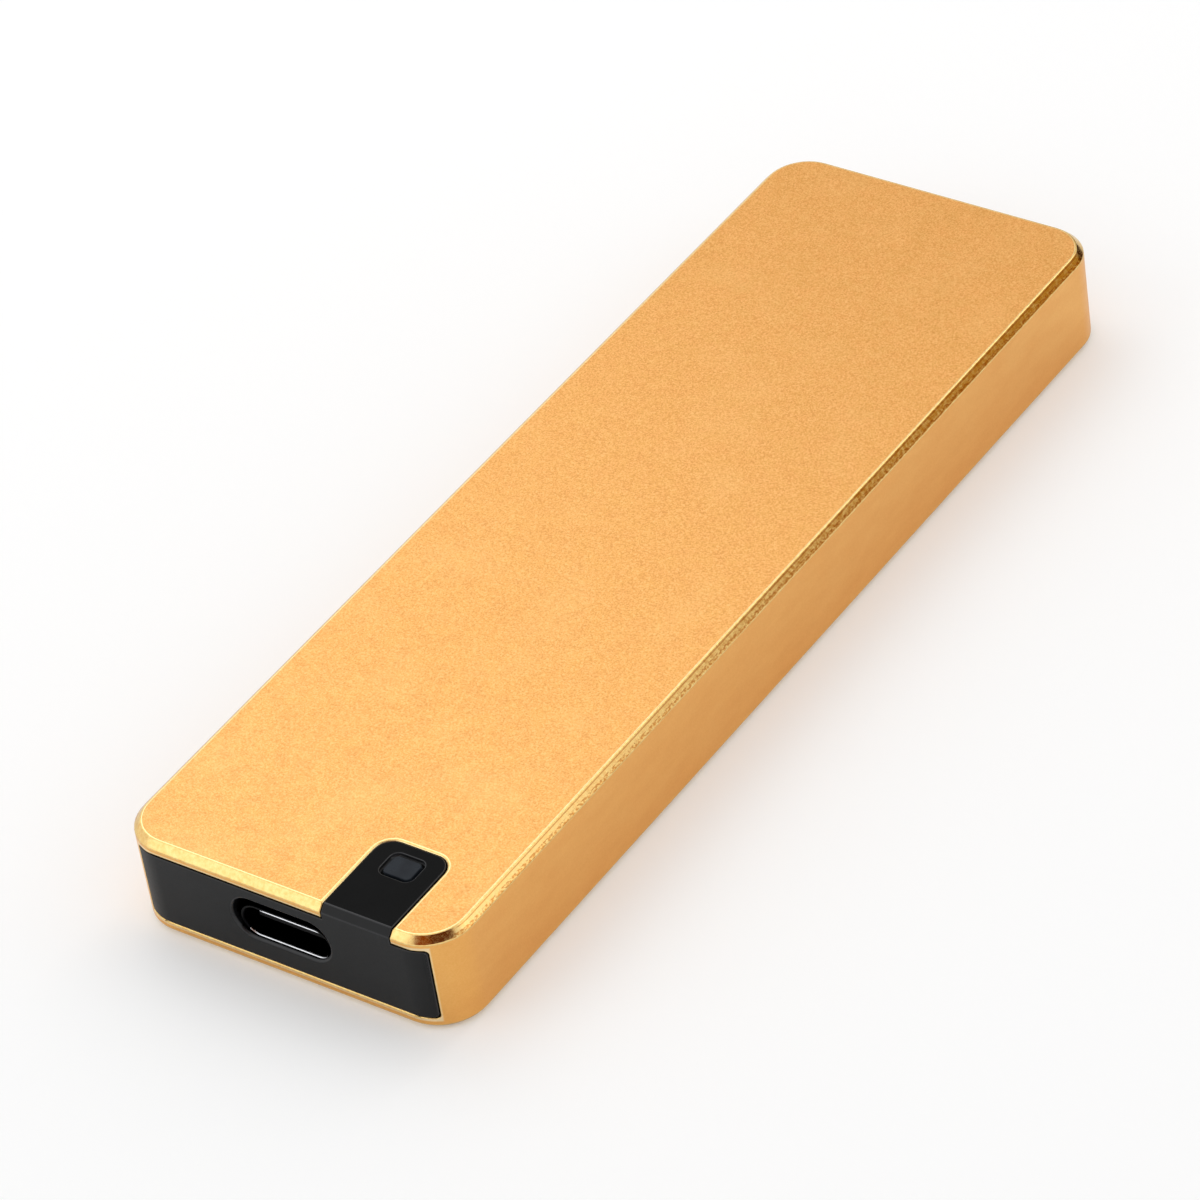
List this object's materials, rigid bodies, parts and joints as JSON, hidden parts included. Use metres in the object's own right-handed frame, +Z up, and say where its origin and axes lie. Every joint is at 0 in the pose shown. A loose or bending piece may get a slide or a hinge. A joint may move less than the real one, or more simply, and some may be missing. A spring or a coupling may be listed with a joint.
{
  "type": "portable solid state drive",
  "caption": "Pocket solid state drive: a flat gold anodised aluminium case with rounded corners, closed at one end, with a black cap that holds the USB-C port and a status light tab.",
  "frame": {"origin": "middle of the base of the case, on the surface it lies on", "axes": "+Z up out of the top face, +Y along the length towards the closed end, so the port faces -Y"},
  "size_m": [0.032, 0.1, 0.0095],
  "materials": {
    "gold_aluminium": "bead-blasted and gold anodised, with a polished chamfer",
    "black_plastic": "fine spark texture",
    "smoked_lens": "polished",
    "green_board": "solder mask",
    "insulating_film": "film",
    "black_steel": "black zinc",
    "port_steel": "nickel plated",
    "black_resin": "moulded",
    "gold_plating": "gold plated",
    "chip_epoxy": "moulded epoxy",
    "crystal_can": "satin",
    "ferrite": "matt",
    "capacitor_ceramic": "matt",
    "resistor_ceramic": "matt",
    "light_resin": "clear",
    "turned_brass": "turned",
    "steel": "nickel plated",
    "silicone_pad": "soft"
  },
  "bodies": {
    "root": {"shell": "gold_aluminium", "front_cap": "black_plastic", "led_lens": "smoked_lens", "main_board": "green_board", "insulating_sheet": "insulating_film", "cap_screws": "black_steel", "usb_shell": "port_steel", "usb_tongue": "black_resin", "usb_contacts": "gold_plating", "bridge_chip": "chip_epoxy", "flash_chip": "chip_epoxy", "crystal": "crystal_can", "power_regulator": "chip_epoxy", "inductor": "ferrite", "capacitors": "capacitor_ceramic", "resistors": "resistor_ceramic", "led": "light_resin", "m2_socket": "black_resin", "m2_contacts": "gold_plating", "standoff": "turned_brass", "retention_screw": "steel", "ssd_board": "green_board", "edge_contacts": "gold_plating", "controller_chip": "chip_epoxy", "dram_chip": "chip_epoxy", "nand_chips": "chip_epoxy", "ssd_capacitors": "capacitor_ceramic", "thermal_pad": "silicone_pad"}
  },
  "joints": []
}
